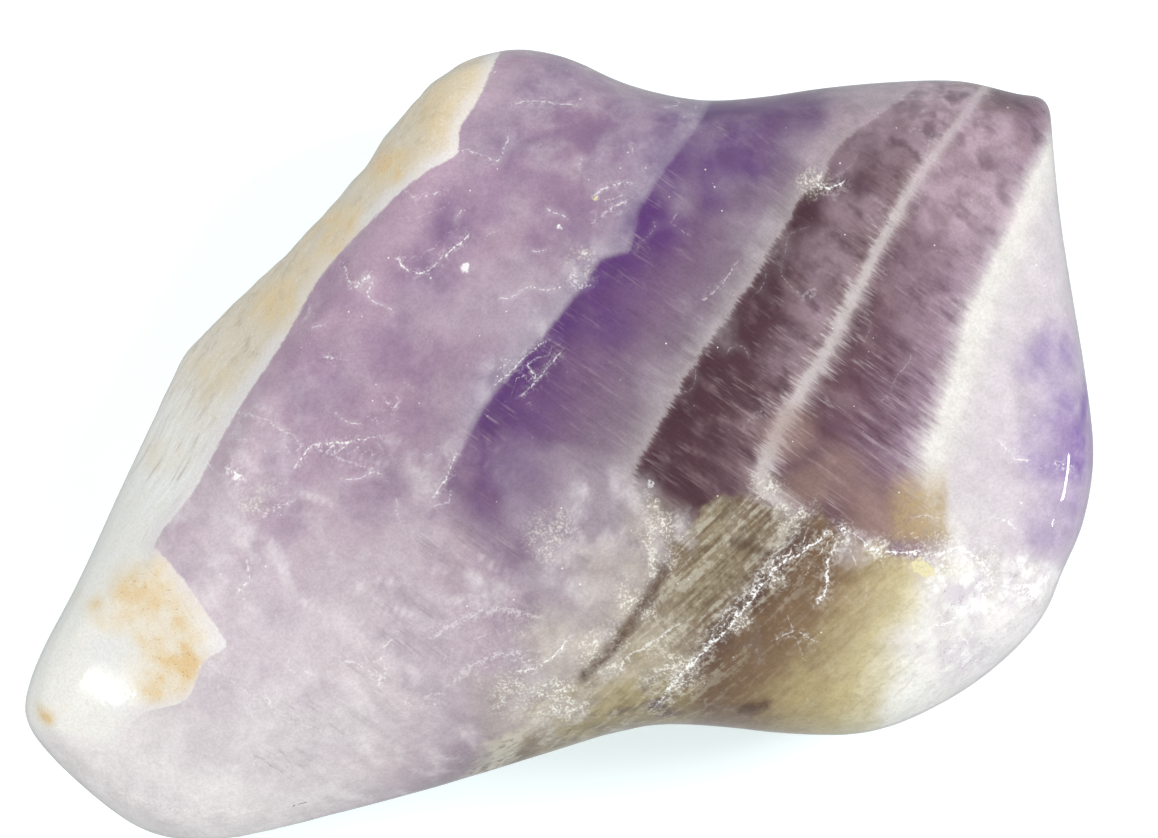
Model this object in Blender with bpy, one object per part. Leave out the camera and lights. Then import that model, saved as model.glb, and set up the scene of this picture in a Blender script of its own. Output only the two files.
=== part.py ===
"""A palm-size freeform of chevron amethyst, tumbled and polished, lying on its flat underside.

The stone is one solid. Seen from above it has the outline below. Its top is a shallow crown that is
ground down by a few broad facets, its sides are rounded over, and its underside curves in to a flat foot.
X runs along the stone, Y across it and Z up, with the origin under its middle on the foot."""

import math

import bmesh
import bpy
import numpy as np
from mathutils import Vector

MM = 0.001

# The outline seen from above, in millimetres, clockwise from the hump on the far side.
OUTLINE = [
    (5.9, 21.1), (8.8, 19.5), (11.3, 16.9), (14.7, 14.5), (17.9, 13.4), (20.9, 12.7), (25.1, 11.4),
    (28.4, 10.1), (31.0, 8.2), (31.8, 7.8), (32.1, 7.2), (31.8, 6.1), (31.3, 4.6), (30.4, 1.5),
    (29.4, -3.1), (28.3, -8.0), (27.2, -11.8), (25.4, -14.8), (23.3, -16.8), (21.6, -18.5),
    (18.6, -20.1), (14.9, -21.1), (10.4, -21.1), (6.3, -19.5), (2.7, -17.5), (-0.8, -16.0),
    (-9.1, -15.2), (-20.5, -13.9), (-25.2, -13.0), (-28.0, -11.4), (-30.2, -8.4), (-31.9, -4.7),
    (-32.1, -2.7), (-30.6, -0.6), (-27.1, 2.6), (-22.7, 6.9), (-19.6, 9.9), (-17.5, 11.9),
    (-15.4, 13.1), (-12.2, 14.3), (-7.8, 16.0), (-3.8, 18.0), (-1.1, 19.7), (2.0, 21.1),
]
STEPS_PER_SPAN = 3

# The crown: its height, and how far it has fallen at the ends and at the long sides of the stone.
HEIGHT = 20.6
CROWN_MIDDLE = (1.0, 1.0)
CROWN_FALL_ALONG = 1.8
CROWN_FALL_ACROSS = 1.6
HALF_LENGTH = 32.0
HALF_WIDTH = 21.0

# Broad facets on top: a point on the ridge with its height, the way that the facet falls, and its slope.
FACETS = {
    "rind_side": dict(at=(-8.2, 11.8, 19.3), falls=124.0, slope=63.0),
    "pale_tip": dict(at=(-21.6, -2.0, 18.9), falls=191.0, slope=26.0),
    "near_left": dict(at=(-23.8, -7.8, 17.9), falls=256.0, slope=41.0),
    "right_end": dict(at=(24.0, -3.0, 19.0), falls=343.0, slope=20.0),
    "right_heel": dict(at=(20.0, -12.4, 18.8), falls=316.0, slope=23.0),
    "near_edge": dict(at=(4.0, -13.6, 19.1), falls=266.0, slope=38.0),
    "far_edge": dict(at=(14.0, 11.6, 19.3), falls=67.0, slope=36.0),
}
RIDGE_SOFTNESS = 0.35

# Shallow hollows where the outline bends inwards: middle, radius and depth.
HOLLOWS = [
    (15.5, 13.0, 7.0, 1.2),
    (-0.5, -14.5, 6.5, 1.0),
    (-17.2, 11.4, 2.6, 0.6),
    (21.5, -16.8, 3.2, 0.6),
]

# The underside: its rise under the rim, how that rise varies round the stone, and how it curves.
UNDER_RISE = 6.8
UNDER_WAVES = [(1.1, 2, 0.6), (0.7, 3, 2.1), (0.5, 5, 0.0)]
UNDER_CURVE = 1.7

# The rim is rounded over this far in from the outline: at the left end, at the right end, beside the rind.
ROUND_LEFT = 1.7
ROUND_RIGHT = 2.1
ROUND_RIND = 1.4
RIND_BLEND = 6.0

# Rings of the mesh, as shares of the way in from the rim, and the smooth ovals that the rings reach.
RINGS_IN = (0.01, 0.04, 0.1, 0.19, 0.32, 0.5, 0.74, 1.0)
OVAL_SMOOTHING = 160
CAP_SIZE = 0.72
FOOT_SIZE = 0.6


def outline_points():
    """Points on a smooth closed curve through the outline, by centripetal Catmull-Rom spans."""
    points = [Vector(p) for p in OUTLINE]
    count = len(points)
    curve = []
    for i in range(count):
        a, b, c, d = (points[(i + k) % count] for k in (-1, 0, 1, 2))
        reach_in, reach, reach_out = (math.sqrt((q - p).length) for p, q in ((a, b), (b, c), (c, d)))
        slope_b = (b - a) / reach_in - (c - a) / (reach_in + reach) + (c - b) / reach
        slope_c = (c - b) / reach - (d - b) / (reach + reach_out) + (d - c) / reach_out
        for step in range(STEPS_PER_SPAN):
            t = step / STEPS_PER_SPAN
            curve.append(
                b * (2 * t**3 - 3 * t**2 + 1)
                + c * (3 * t**2 - 2 * t**3)
                + slope_b * reach * (t**3 - 2 * t**2 + t)
                + slope_c * reach * (t**3 - t**2)
            )
    return np.array([tuple(p) for p in curve])


def oval_points(rim, size):
    """The rim smoothed to a plain oval and drawn in, for the rings to close in on."""
    oval = rim.copy()
    for _ in range(OVAL_SMOOTHING):
        oval = (np.roll(oval, 1, axis=0) + oval + np.roll(oval, -1, axis=0)) / 3
    middle = oval.mean(axis=0)
    return middle + (oval - middle) * size


def distance_in(places, rim):
    """How far each place is from the outline."""
    starts, ends = rim, np.roll(rim, -1, axis=0)
    along = ends - starts
    offset = places[:, None] - starts
    share = np.clip((offset * along).sum(2) / (along * along).sum(1), 0, 1)
    return np.linalg.norm(offset - share[..., None] * along, axis=2).min(1)


def past_ridge(places, facet):
    """How far each place is past a facet's ridge, the way that the facet falls."""
    turn = math.radians(facet["falls"])
    offset = places - np.array(facet["at"][:2])
    return offset[:, 0] * math.cos(turn) + offset[:, 1] * math.sin(turn)


def soft_lower(a, b):
    """The lower of two heights, with the ridge between them rounded."""
    return (a + b) / 2 - np.sqrt(((a - b) / 2) ** 2 + RIDGE_SOFTNESS**2)


def top_height(places):
    """Height of the crown and its facets, before the rim is rounded over."""
    x, y = places.T
    along = (x - CROWN_MIDDLE[0]) / HALF_LENGTH
    across = (y - CROWN_MIDDLE[1]) / HALF_WIDTH
    height = HEIGHT - CROWN_FALL_ALONG * along**2 - CROWN_FALL_ACROSS * across**2
    for mid_x, mid_y, radius, depth in HOLLOWS:
        height = height - depth * np.exp(-((x - mid_x) ** 2 + (y - mid_y) ** 2) / radius**2)
    for facet in FACETS.values():
        slope = math.tan(math.radians(facet["slope"]))
        height = soft_lower(height, facet["at"][2] - past_ridge(places, facet) * slope)
    return height


def under_height(rim, share):
    """Height of a ring of the underside, which is flat once the ring has reached the foot."""
    turn = np.arctan2(rim[:, 1] / HALF_WIDTH, rim[:, 0] / HALF_LENGTH)
    rise = UNDER_RISE + sum(size * np.sin(lobes * turn + start) for size, lobes, start in UNDER_WAVES)
    return rise * (1 - share) ** UNDER_CURVE


def rim_share(places, rim):
    """How far the rounded rim has closed towards the top or the underside: 0 at the outline, 1 inside."""
    along = np.clip((places[:, 0] / HALF_LENGTH + 1) / 2, 0, 1)
    radius = ROUND_LEFT + (ROUND_RIGHT - ROUND_LEFT) * along
    beside_rind = np.clip(past_ridge(places, FACETS["rind_side"]) / RIND_BLEND + 1, 0, 1)
    radius = radius + (ROUND_RIND - radius) * beside_rind
    return np.sqrt(1 - (1 - np.clip(distance_in(places, rim) / radius, 0, 1)) ** 2)


def cap_points(places, rim):
    """Points of the top over places, in metres, where the underside below them is flat."""
    z = top_height(places) * (1 + rim_share(places, rim)) / 2
    return np.column_stack([places, z]) * MM


def ring_points(rim, oval, share, side):
    """A ring of the top (side 1) or the underside (side -1), some share of the way from rim to oval."""
    places = rim + (oval - rim) * share
    top, under = top_height(places), under_height(rim, share)
    z = (top + under) / 2 + side * (top - under) / 2 * rim_share(places, rim)
    return np.column_stack([places, z]) * MM


def extrude_ring(bm, ring, points):
    """Extrudes a closed ring of vertices and moves each copy to its point."""
    edges = [bm.edges.get(pair) for pair in zip(ring, ring[1:] + ring[:1])]
    made = bmesh.ops.extrude_edge_only(bm, edges=edges)["geom"]
    new = {v for v in made if isinstance(v, bmesh.types.BMVert)}
    copies = [next(e.other_vert(v) for e in v.link_edges if e.other_vert(v) in new) for v in ring]
    for copy, point in zip(copies, points):
        copy.co = point
    return copies


def fill_top(bm, ring, rim):
    """Fills the innermost ring with a grid of squares, and lifts the new vertices onto the top."""
    quarter = len(ring) // 4
    edges = [bm.edges.get(pair) for pair in zip(ring, ring[1:] + ring[:1])]
    opposite = edges[:quarter] + edges[2 * quarter : 3 * quarter]
    before = set(bm.verts)
    bmesh.ops.grid_fill(bm, edges=opposite)
    made = [v for v in bm.verts if v not in before]
    places = np.array([tuple(v.co.xy) for v in made]) / MM
    for v, point in zip(made, cap_points(places, rim)):
        v.co = point


def stone_mesh():
    rim = outline_points()
    bm = bmesh.new()
    start = [bm.verts.new(p) for p in ring_points(rim, rim, 0.0, 1)]
    for pair in zip(start, start[1:] + start[:1]):
        bm.edges.new(pair)
    for side, size in ((1, CAP_SIZE), (-1, FOOT_SIZE)):
        oval = oval_points(rim, size)
        ring = start
        for share in RINGS_IN:
            ring = extrude_ring(bm, ring, ring_points(rim, oval, share, side))
        if side == 1:
            fill_top(bm, ring, rim)
        else:
            bmesh.ops.contextual_create(bm, geom=ring)
    bmesh.ops.recalc_face_normals(bm, faces=bm.faces)
    mesh = bpy.data.meshes.new("chevron_amethyst")
    bm.to_mesh(mesh)
    bm.free()
    mesh.shade_smooth()
    return mesh


def amethyst_material():
    material = bpy.data.materials.new("amethyst")
    material.use_nodes = True
    shader = material.node_tree.nodes["Principled BSDF"]
    shader.inputs["Base Color"].default_value = (0.36, 0.24, 0.42, 1)
    shader.inputs["Roughness"].default_value = 0.08
    shader.inputs["IOR"].default_value = 1.54
    return material


for old in list(bpy.data.objects):
    bpy.data.objects.remove(old)
stone = bpy.data.objects.new("chevron_amethyst", stone_mesh())
stone.data.materials.append(amethyst_material())
bpy.context.scene.collection.objects.link(stone)
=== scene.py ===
"""Chevron amethyst, a palm-size tumbled and polished stone, on a plain pale floor."""

import math

import bmesh
import bpy
import numpy as np
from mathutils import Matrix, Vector, noise


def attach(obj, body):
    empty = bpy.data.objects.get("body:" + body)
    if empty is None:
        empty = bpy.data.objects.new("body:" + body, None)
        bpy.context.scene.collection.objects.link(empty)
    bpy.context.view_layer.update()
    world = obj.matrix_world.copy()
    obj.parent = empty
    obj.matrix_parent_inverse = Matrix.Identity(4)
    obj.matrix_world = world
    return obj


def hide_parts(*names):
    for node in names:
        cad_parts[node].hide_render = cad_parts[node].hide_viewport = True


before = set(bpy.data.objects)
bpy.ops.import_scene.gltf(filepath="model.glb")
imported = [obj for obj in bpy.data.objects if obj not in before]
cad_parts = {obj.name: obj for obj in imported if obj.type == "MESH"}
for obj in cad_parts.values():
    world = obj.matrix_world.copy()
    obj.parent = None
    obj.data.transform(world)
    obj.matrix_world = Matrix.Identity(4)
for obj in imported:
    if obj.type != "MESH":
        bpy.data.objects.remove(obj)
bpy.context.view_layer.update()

# The stone's body: one grown piece of quartz, ground and tumbled until its facets met in soft ridges.
# It is the solid's own shape drawn with small even squares, slightly wavy from the wheel, with a rougher
# rind down one side and a few shell-shaped chips that polishing didn't take out.
MM = 0.001
SQUARE = 0.29 * MM
EASING_PASSES = 8
WHEEL_WAVE = dict(size=7.5, height=0.09)
RIND_LUMPS = dict(size=1.5, height=0.11)
# Shell chips: middle in millimetres, radius and depth.
SHELL_CHIPS = [
    ((19.2, -16.2), 1.7, 0.22),
    ((21.9, -15.9), 1.2, 0.18),
    ((17.0, -19.0), 1.1, 0.16),
    ((24.2, -13.9), 0.8, 0.12),
    ((-13.6, 11.6), 1.0, 0.14),
    ((-6.0, 15.6), 0.8, 0.12),
]

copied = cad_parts["chevron_amethyst"].data.copy()
welded = bmesh.new()
welded.from_mesh(copied)
bmesh.ops.remove_doubles(welded, verts=welded.verts, dist=1e-7)
bmesh.ops.recalc_face_normals(welded, faces=welded.faces)
welded.to_mesh(copied)
welded.free()
blank = bpy.data.objects.new("stone_blank", copied)
bpy.context.scene.collection.objects.link(blank)
squares = blank.modifiers.new("even squares", "REMESH")
squares.mode = "VOXEL"
squares.voxel_size = SQUARE
bpy.context.view_layer.update()
body_mesh = bpy.data.meshes.new_from_object(blank.evaluated_get(bpy.context.evaluated_depsgraph_get()))
bpy.data.objects.remove(blank)
easing = bmesh.new()
easing.from_mesh(body_mesh)
every_way = dict(use_axis_x=True, use_axis_y=True, use_axis_z=True)
for _ in range(EASING_PASSES):
    bmesh.ops.smooth_vert(easing, verts=easing.verts, factor=0.5, **every_way)
bmesh.ops.recalc_face_normals(easing, faces=easing.faces)
easing.to_mesh(body_mesh)
easing.free()
body_mesh.materials.clear()
stone = bpy.data.objects.new("polished_stone", body_mesh)
bpy.context.scene.collection.objects.link(stone)

count = len(body_mesh.vertices)
places = np.empty(count * 3, np.float32)
body_mesh.vertices.foreach_get("co", places)
places = places.reshape(-1, 3).astype(float) / MM
facing = np.empty(count * 3, np.float32)
body_mesh.vertex_normals.foreach_get("vector", facing)
facing = facing.reshape(-1, 3).astype(float)


def cloudy(size, seed, octaves=1, points=places):
    """Soft noise from about -1 to 1 over the stone, with patches of that size in millimetres."""
    shift = Vector((seed * 7.31, seed * 3.17, seed * 5.93))
    return np.array([noise.fractal(Vector(p) / size + shift, 1.0, 2.0, octaves) for p in points])


def gentle(low, high, values):
    """0 below low and 1 above high, with a soft step between."""
    t = np.clip((values - low) / (high - low), 0, 1)
    return t * t * (3 - 2 * t)


# The growth bands: the crystal grew in layers from its rind, and each layer left a line across the stone.
# Every point gets its layer, from lines drawn in millimetres as the polished top is seen from this far
# above the widest level. Below that level the layers lean, and waver more the deeper they are.
WIDEST_LEVEL = 9.5
SIGHT_MIDDLE = (2.08, 0.88)
SIGHT_HEIGHT = 250.0
GROWTH_WAY = (0.545, -0.839)
LAYER_LEAN = 0.3
LAYER_WAVER = 0.14
LAYER_THICKNESS = 7.7
LAYER_LINES = [
    [
        (8.6, 23.4), (5.5, 21.1), (3.6, 19.3), (2.0, 18.1), (1.3, 16.9), (-0.6, 16.6), (-3.1, 15.8),
        (-7.8, 13.7), (-11.3, 11.0), (-14.6, 8.7), (-17.1, 6.8), (-19.0, 5.2), (-22.0, 3.4), (-22.0, 2.7),
        (-21.7, 1.8), (-21.3, 0.6), (-20.9, -1.2), (-20.5, -2.9), (-20.6, -3.5), (-22.0, -3.8),
        (-22.7, -4.5), (-23.9, -5.4), (-26.4, -5.2), (-28.6, -6.4), (-30.6, -5.3), (-32.0, -4.4),
        (-35.0, -2.6),
    ],
    [
        (17.4, 16.0), (14.1, 13.4), (11.5, 11.8), (10.4, 11.0), (9.4, 10.2), (8.5, 8.9), (8.1, 8.4),
        (7.5, 8.4), (6.6, 8.6), (5.7, 8.0), (4.7, 7.4), (1.5, 5.6), (-1.2, 4.2), (-2.7, 3.3), (-5.4, 1.0),
        (-7.4, -0.7), (-10.7, -2.9), (-15.4, -5.8),
    ],
    [
        (27.2, 11.5), (25.5, 10.6), (22.4, 9.9), (20.5, 9.2), (19.5, 8.1), (17.8, 7.5), (16.5, 6.4),
        (15.1, 5.3), (12.6, 3.5), (10.3, 2.0), (8.4, 0.8), (5.5, -1.5), (3.9, -2.9), (3.5, -4.5),
        (4.2, -7.5), (2.1, -9.3), (-2.8, -12.1), (-6.0, -13.7), (-8.5, -15.1),
    ],
    [
        (30.6, 10.1), (29.2, 9.2), (26.6, 7.6), (24.8, 6.5), (21.2, 3.7), (18.6, 1.4), (16.4, -0.5),
        (13.9, -2.3), (10.8, -5.1), (10.1, -6.5), (10.9, -8.2), (10.9, -9.8), (7.8, -11.6), (5.2, -12.9),
        (1.5, -14.7), (-1.0, -15.7), (-3.9, -16.9),
    ],
    [
        (33.9, 6.9), (31.2, 4.4), (29.0, 2.3), (26.8, 0.2), (24.7, -1.7), (23.1, -3.8), (20.8, -6.7),
        (19.3, -8.5), (18.6, -10.6), (18.2, -13.5), (15.4, -16.4), (12.9, -18.9), (10.0, -22.5),
    ],
]
LINE_STEPS = 6
LINE_REACH = 60.0


def drawn_line(points):
    """A smooth line through the points, run on straight at both ends."""
    ends = [np.array(p, float) for p in points]
    ends = [2 * ends[0] - ends[1]] + ends + [2 * ends[-1] - ends[-2]]
    line = []
    for a, b, c, d in zip(ends, ends[1:], ends[2:], ends[3:]):
        bend, twist = 2 * a - 5 * b + 4 * c - d, 3 * b - a - 3 * c + d
        for t in np.arange(LINE_STEPS) / LINE_STEPS:
            line.append(b + 0.5 * ((c - a) * t + bend * t**2 + twist * t**3))
    line.append(ends[-2])
    first, last = line[0] - line[1], line[-1] - line[-2]
    first, last = first / np.linalg.norm(first), last / np.linalg.norm(last)
    return np.array([line[0] + first * LINE_REACH] + line + [line[-1] + last * LINE_REACH])


def beside_line(points, line):
    """How far each point is from a line, positive on its growth side, and how far along the line it is."""
    nearest = np.full(len(points), 1e9)
    side = np.zeros(len(points))
    along = np.zeros(len(points))
    travelled = 0.0
    for a, b in zip(line, line[1:]):
        run = b - a
        length = math.hypot(*run)
        offset = points - a
        share = np.clip((offset @ run) / length**2, 0, 1)
        gap = np.linalg.norm(offset - share[:, None] * run, axis=1)
        turn = run[0] * offset[:, 1] - run[1] * offset[:, 0]
        closer = gap < nearest
        nearest = np.where(closer, gap, nearest)
        side = np.where(closer, np.where(turn > 0, 1.0, -1.0), side)
        along = np.where(closer, travelled + share * length, along)
        travelled += length
    return nearest * side, along


depth = np.clip(WIDEST_LEVEL - places[:, 2], 0, None)
waver = np.column_stack([cloudy(9.0, 1), cloudy(9.0, 2)]) * (depth * LAYER_WAVER)[:, None]
looming = SIGHT_HEIGHT / (SIGHT_HEIGHT + WIDEST_LEVEL - places[:, 2])
seen = SIGHT_MIDDLE + (places[:, :2] - SIGHT_MIDDLE) * looming[:, None]
seen = seen - np.outer(depth * LAYER_LEAN, GROWTH_WAY) + waver
beside = [beside_line(seen, drawn_line(points))[0] for points in LAYER_LINES]
layer = beside[0] / LAYER_THICKNESS
for number, (before, after) in enumerate(zip(beside, beside[1:])):
    between = before / np.maximum(before - after, 1e-6)
    layer = np.where((before > 0), number + np.clip(between, 0, 1), layer)
layer = np.where(beside[-1] > 0, len(beside) - 1 + beside[-1] / LAYER_THICKNESS, layer)
across_growth = seen @ np.array((-GROWTH_WAY[1], GROWTH_WAY[0]))


def by_layer(stops):
    """An amount that changes from layer to layer, from stops of layer and amount."""
    return np.interp(layer, *zip(*stops))


def drawn_out(narrow, long, seed, octaves=2):
    """Noise drawn out along the growth, or along the layers where narrow is the longer of the two."""
    upright = places[:, 2] / (4 * min(narrow, long))
    stretched = np.column_stack([across_growth / narrow, upright, layer * LAYER_THICKNESS / long])
    return cloudy(1.0, seed, octaves, stretched)


# How far the fibres carry each layer's edge to and fro, and how strongly locks and hairs of fibre show.
# The fibres fade towards the far side of the stone, and the hairs stand in irregular tufts.
silky = gentle(28.0, 12.0, across_growth)
reach = (0.5 + 0.5 * silky) * by_layer([
    (0.0, 0.02), (0.94, 0.02), (1.0, 0.012), (1.1, 0.10), (1.6, 0.2), (1.93, 0.12), (2.0, 0.12),
    (2.06, 0.15), (2.3, 0.4), (2.86, 0.4), (2.95, 0.14), (3.03, 0.14), (3.15, 0.4), (3.6, 0.5),
    (3.88, 0.16), (4.1, 0.12), (5.0, 0.3),
])
locks = by_layer([
    (1.0, 0.0), (1.1, 0.2), (1.9, 0.1), (2.06, 0.3), (2.3, 0.6), (2.6, 0.9), (2.9, 0.9), (2.98, 0.1),
    (3.02, 0.1), (3.1, 0.8), (3.8, 0.7), (3.95, 0.1), (5.0, 0.15),
])
tufted = gentle(-0.3, 0.35, drawn_out(1.4, 3.2, 35))
hairs = tufted * (0.35 + 0.65 * silky) * by_layer([
    (0.0, 0.04), (0.9, 0.05), (1.02, 0.4), (1.3, 0.3), (1.5, 0.16), (1.85, 0.2), (1.97, 0.3), (2.03, 0.4),
    (2.15, 0.15), (2.5, 0.25), (2.8, 0.6), (2.97, 0.5), (3.03, 0.6), (3.15, 0.7), (3.4, 0.4), (3.6, 0.25),
    (3.85, 0.5), (4.0, 0.2), (4.2, 0.2), (5.0, 0.05),
])

# Soft zones where the colour of the crystal changes: smoky towards the near right, pale towards the near
# left, and patches of violet, pink haze, cream, tea brown, milk, frost, straw yellow, clear chipped quartz,
# rust stain and glassy rind. Each patch is its middle in millimetres, its radius and its strength.
NEAR_WAY = (-0.3746, -0.9272)
VIEW_RIGHT = (0.9272, -0.3746)
SMOKY_EDGE = [
    (26.5, -18.5), (21.5, -15.4), (18.5, -14.2), (16.0, -12.9), (13.6, -10.8), (10.9, -8.8), (8.4, -6.2),
    (5.6, -6.4), (2.6, -9.2), (-3.4, -12.3), (-9.0, -13.4),
]
PATCHES = {
    "violet": [
        ((27.6, -10.2), 3.4, 1.0), ((24.9, -10.8), 1.8, 0.6), ((27.4, -5.6), 2.2, 0.6),
        ((24.6, -14.0), 2.4, 0.5), ((13.2, 12.3), 3.6, 0.9), ((9.6, 9.2), 2.4, 0.9), ((5.6, 6.0), 2.4, 0.6),
        ((-0.4, 2.6), 3.0, 0.5), ((-3.0, -0.6), 2.6, 0.5), ((-0.4, 13.6), 1.9, 0.5), ((1.6, 14.2), 1.9, 0.4),
        ((-3.0, 10.9), 2.2, 0.4), ((-10.6, 8.2), 2.6, 0.3), ((18.6, 12.6), 3.0, 0.6),
        ((15.9, 11.6), 3.2, 0.8), ((-6.0, 8.0), 2.0, 0.25), ((5.0, 16.0), 3.6, 0.35), ((7.9, 18.0), 3.4, 0.5),
        ((10.1, 14.8), 3.0, 0.5), ((5.6, 11.6), 2.6, 0.3), ((-9.6, 2.6), 2.4, 0.2),
    ],
    "haze": [
        ((23.3, 1.8), 3.0, 0.35), ((26.0, 4.2), 3.2, 0.9), ((28.2, 7.0), 2.6, 0.9), ((21.5, -1.0), 2.2, 0.3),
        ((23.4, 10.2), 3.0, 0.6), ((27.2, 9.8), 2.8, 1.0), ((20.8, 8.8), 2.0, 0.4), ((25.6, 8.0), 2.2, 0.5),
        ((18.3, 3.8), 2.2, 0.5), ((20.6, 6.3), 2.0, 0.45), ((16.2, 1.4), 1.8, 0.45), ((14.4, 0.0), 1.6, 0.35),
    ],
    "cream": [
        ((0.8, -8.6), 3.4, 0.75), ((-3.0, -11.0), 3.4, 0.85), ((3.4, -5.8), 1.8, 0.6),
        ((-7.2, -12.8), 3.0, 0.6), ((0.8, -12.0), 3.0, 0.6),
    ],
    "tea": [
        ((13.8, -7.5), 2.2, 0.6), ((15.1, -10.0), 2.2, 0.9), ((12.2, -7.4), 1.6, 0.7),
        ((17.0, -12.6), 1.4, 0.6), ((12.4, -4.4), 1.6, 0.6),
    ],
    "milk": [
        ((4.3, -6.9), 1.7, 0.8), ((1.6, -4.6), 3.0, 0.7), ((-2.0, -8.0), 3.8, 0.7), ((-2.0, -11.2), 2.2, 0.7),
        ((-5.2, -12.8), 2.2, 0.7), ((5.6, 8.6), 1.5, 0.6), ((2.0, 6.3), 1.3, 0.4), ((-1.6, 4.6), 1.4, 0.4),
        ((14.6, 6.2), 2.2, 0.2), ((11.0, 3.4), 1.6, 0.2), ((-6.4, 1.6), 2.0, 0.4), ((8.0, 15.6), 3.4, 0.15),
        ((-12.0, -9.6), 4.0, 0.3), ((-15.4, 3.6), 3.4, 0.2), ((21.4, -12.2), 3.2, 0.4),
        ((-18.6, -8.4), 4.4, 0.3), ((-4.8, -4.8), 3.0, 0.5), ((-4.4, 0.2), 2.0, 0.3),
    ],
    "frost": [
        ((17.6, -13.5), 1.4, 0.8), ((19.4, -15.4), 1.7, 0.9), ((12.7, -10.4), 0.9, 0.8),
        ((21.6, -16.8), 1.4, 1.0), ((17.0, -16.8), 1.6, 0.8), ((3.9, -6.6), 1.2, 0.9),
        ((3.2, -8.0), 1.2, 0.8), ((1.4, -9.8), 1.4, 0.9), ((-1.4, -11.4), 1.6, 0.9),
        ((-4.6, -12.8), 1.6, 0.9), ((8.6, -11.2), 0.8, 0.9), ((5.8, -12.6), 0.9, 0.9),
        ((1.6, -14.0), 1.6, 0.7), ((14.4, -11.7), 0.9, 0.7), ((10.2, -6.6), 0.9, 0.9),
        ((10.8, -8.6), 1.0, 0.8), ((3.7, -4.6), 0.6, 0.8), ((-7.0, -11.6), 1.5, 0.6),
        ((-1.6, -4.4), 1.6, 0.4), ((-16.0, 3.4), 1.4, 0.4), ((5.4, 8.4), 1.0, 0.6), ((18.8, 8.0), 0.8, 0.6),
    ],
    "straw": [
        ((9.4, -18.6), 2.4, 0.7), ((7.4, -17.6), 2.4, 0.5), ((0.2, -14.6), 2.6, 0.9),
        ((-4.6, -15.0), 2.2, 0.8), ((-2.8, -13.8), 2.2, 0.9),
    ],
    "clear": [
        ((18.2, -15.6), 2.6, 1.0), ((16.9, -18.6), 2.4, 0.8), ((21.6, -16.6), 1.8, 0.9),
        ((13.4, -11.4), 1.2, 0.4), ((14.6, -17.6), 2.0, 0.4),
    ],
    "stain": [
        ((-24.0, -1.0), 2.8, 0.8), ((-23.4, -3.0), 2.2, 1.0), ((-25.2, -4.0), 1.4, 0.8),
        ((-23.6, 1.3), 1.9, 0.8), ((-31.1, -3.3), 0.9, 1.0), ((-26.4, 1.1), 1.1, 0.8),
        ((0.9, 20.3), 2.6, 0.6), ((-2.6, 17.9), 1.7, 1.0), ((-6.4, 15.5), 2.0, 0.9),
        ((-10.7, 13.1), 2.0, 0.8), ((-15.8, 10.7), 1.6, 0.5), ((3.2, 20.6), 1.6, 0.4),
        ((-8.6, 14.4), 1.4, 0.6), ((-20.0, 8.0), 1.2, 0.3),
    ],
    "glass": [((-26.6, -1.4), 1.3, 1.0), ((-27.6, -3.7), 1.0, 0.7)],
}
# The smoky part is drawn out along a fault, with dark seams beside it: a line and its half width, in mm.
FAULT_WAY = (0.932, 0.363)
FAULT_SIDE = (0.363, -0.932)
SEAMS = [
    ([(8.4, -10.9), (7.6, -11.3), (6.0, -12.1), (4.3, -13.0)], 0.5),
    ([(3.3, -8.3), (3.0, -8.8), (0.4, -10.7), (-3.0, -12.4)], 0.4),
    ([(4.4, -17.3), (5.1, -17.5), (5.8, -17.5)], 0.35),
    ([(9.4, -10.4), (8.6, -9.4), (7.4, -8.4)], 0.3),
]
# The square straw-coloured patch is a sector that grew beside the fourth line: middle, half sizes in mm.
SQUARE_PATCH = ((17.6, -10.7), 1.57, 1.73)
# Lines and patches are ragged: the size of the noise that carries each, and how far, in millimetres.
RAGGED = dict(size=2.4, reach=0.8)
RAGGED_SEAM = dict(size=0.9, reach=0.25)
RAGGED_FRACTURE = dict(size=0.8, reach=0.16)

ragged = np.column_stack([cloudy(RAGGED["size"], 11, 2), cloudy(RAGGED["size"], 12, 2)])
ragged = seen + ragged * RAGGED["reach"]


def patches(name):
    """Soft patches with uneven edges, the strongest where they overlap."""
    total = np.zeros(count)
    for middle, radius, strength in PATCHES[name]:
        gap = np.linalg.norm(ragged - np.array(middle), axis=1) / radius
        total = np.maximum(total, strength * (1 - gentle(0.3, 1.3, gap)))
    return total


def from_line(points):
    """How far each point is from a drawn line, and how far past its ends it is."""
    line = drawn_line(points)
    gap, along = beside_line(seen, line)
    length = np.linalg.norm(np.diff(line, axis=0), axis=1).sum() - 2 * LINE_REACH
    return gap, np.maximum(LINE_REACH - along, along - LINE_REACH - length)


towards_near = seen @ np.array(NEAR_WAY)
towards_tip = 0.9 * towards_near - 0.3 * (seen @ np.array(VIEW_RIGHT))
smoky = gentle(-1.1, 1.1, beside_line(ragged, drawn_line(SMOKY_EDGE))[0])
smoky = smoky * gentle(-0.25, 0.1, layer - 1.95)
pale = gentle(0.5, 24.0, towards_tip + 2.0 * cloudy(6.0, 4, 2)) * gentle(2.05, 1.2, layer)
from_square = seen - np.array(SQUARE_PATCH[0]) + 0.12 * (ragged - seen)
rightward = from_square @ np.array(VIEW_RIGHT) / SQUARE_PATCH[1]
nearward = from_square @ np.array(NEAR_WAY) / SQUARE_PATCH[2]
square = gentle(-1.35, -0.5, rightward) * gentle(1.14, 0.86, rightward)
square = square * gentle(-1.6, -0.2, nearward) * gentle(1.14, 0.86, nearward)
lilac_side = gentle(1.2, 0.85, layer)
deep_side = gentle(1.0, 1.01, layer) * gentle(1.75, 1.3, layer)
milk_cloud = gentle(-0.22, 0.34, cloudy(1.9, 21, 4))
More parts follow.
